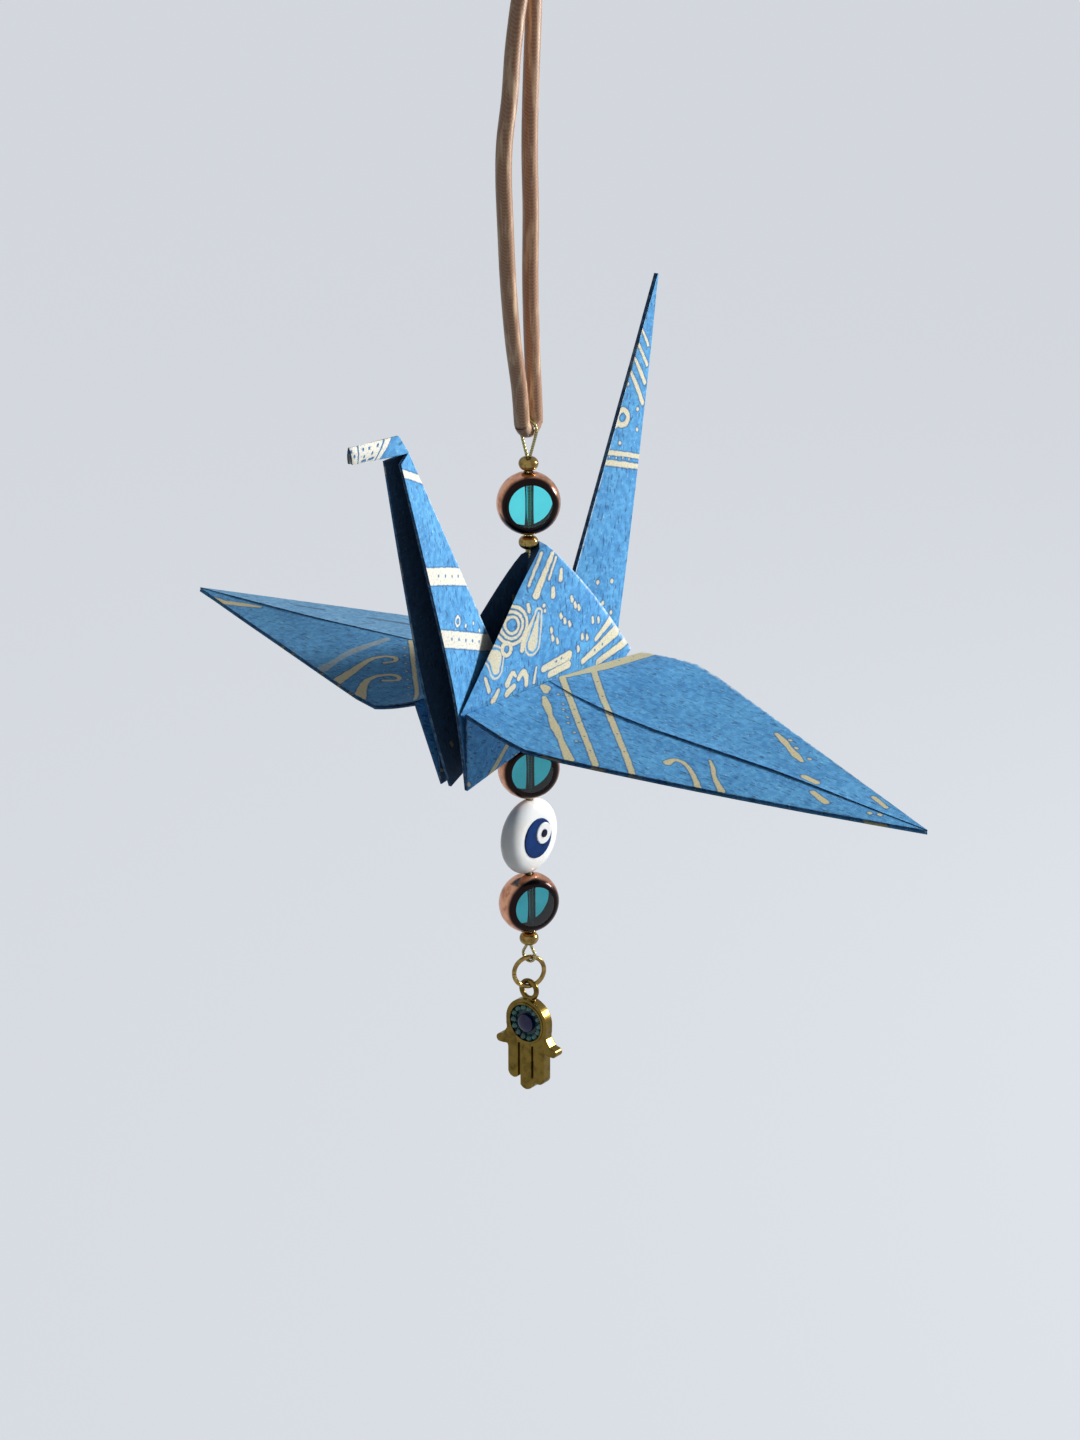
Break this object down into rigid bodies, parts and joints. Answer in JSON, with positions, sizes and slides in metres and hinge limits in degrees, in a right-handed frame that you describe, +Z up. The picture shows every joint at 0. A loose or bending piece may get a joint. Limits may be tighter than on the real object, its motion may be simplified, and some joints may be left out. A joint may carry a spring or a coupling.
{
  "type": "origami crane ornament",
  "caption": "Hanging ornament: a crane folded from one square of printed paper on a beaded wire, with glass beads, an eye bead, a hand charm and a satin cord to hang it by.",
  "frame": {"origin": "the point where the loop of cord hangs on its hook, just below the knot", "axes": "+Z up along the string, +X towards the crane's head, +Y towards its left wing"},
  "size_m": [0.0612, 0.1096, 0.1567],
  "materials": {
    "printed_paper": "matte blue paper with cream and gold print",
    "satin_cord": "tan satin",
    "wire": "gold coloured stringing wire",
    "gold": "bright gold plate",
    "teal_glass": "clear teal glass with a copper plated rim",
    "white_glass": "opaque white glass with blue, white and black discs",
    "teal_stone": "small cut teal stones",
    "blue_stone": "dark blue domed stone"
  },
  "bodies": {
    "string": {"hanging_cord": "satin_cord", "cord_knot": "satin_cord", "bead_wire": "wire", "top_crimp_bead": "gold", "peak_crimp_bead": "gold", "end_crimp_bead": "gold"},
    "crane": {"crane": "printed_paper"},
    "top_bead": {"top_glass_bead": "teal_glass"},
    "middle_bead": {"middle_glass_bead": "teal_glass"},
    "eye_bead": {"eye_bead": "white_glass"},
    "bottom_bead": {"bottom_glass_bead": "teal_glass"},
    "ring": {"jump_ring": "gold"},
    "charm": {"hamsa_charm": "gold", "ring_stones": "teal_stone", "centre_stone": "blue_stone"}
  },
  "joints": [
    {"name": "top_bead_turn", "type": "hinge", "parent": "string", "child": "top_bead", "pos_m": [0, 0, -0.06375], "axis": [0, 0, 1], "continuous": true},
    {"name": "crane_turn", "type": "hinge", "parent": "string", "child": "crane", "pos_m": [0, 0, -0.06993], "axis": [0, 0, 1], "continuous": true},
    {"name": "middle_bead_turn", "type": "hinge", "parent": "string", "child": "middle_bead", "pos_m": [0, 0, -0.09847], "axis": [0, 0, 1], "continuous": true},
    {"name": "eye_bead_turn", "type": "hinge", "parent": "string", "child": "eye_bead", "pos_m": [0, 0, -0.10762], "axis": [0, 0, 1], "continuous": true},
    {"name": "bottom_bead_turn", "type": "hinge", "parent": "string", "child": "bottom_bead", "pos_m": [0, 0, -0.11677], "axis": [0, 0, 1], "continuous": true},
    {"name": "ring_swing", "type": "hinge", "parent": "string", "child": "ring", "pos_m": [0, 0, -0.12502], "axis": [0, 1, 0], "range_deg": [-35, 35]},
    {"name": "charm_swing", "type": "hinge", "parent": "ring", "child": "charm", "pos_m": [0, 0, -0.12856], "axis": [-0.8387, 0.5446, 0], "range_deg": [-50, 50]}
  ]
}
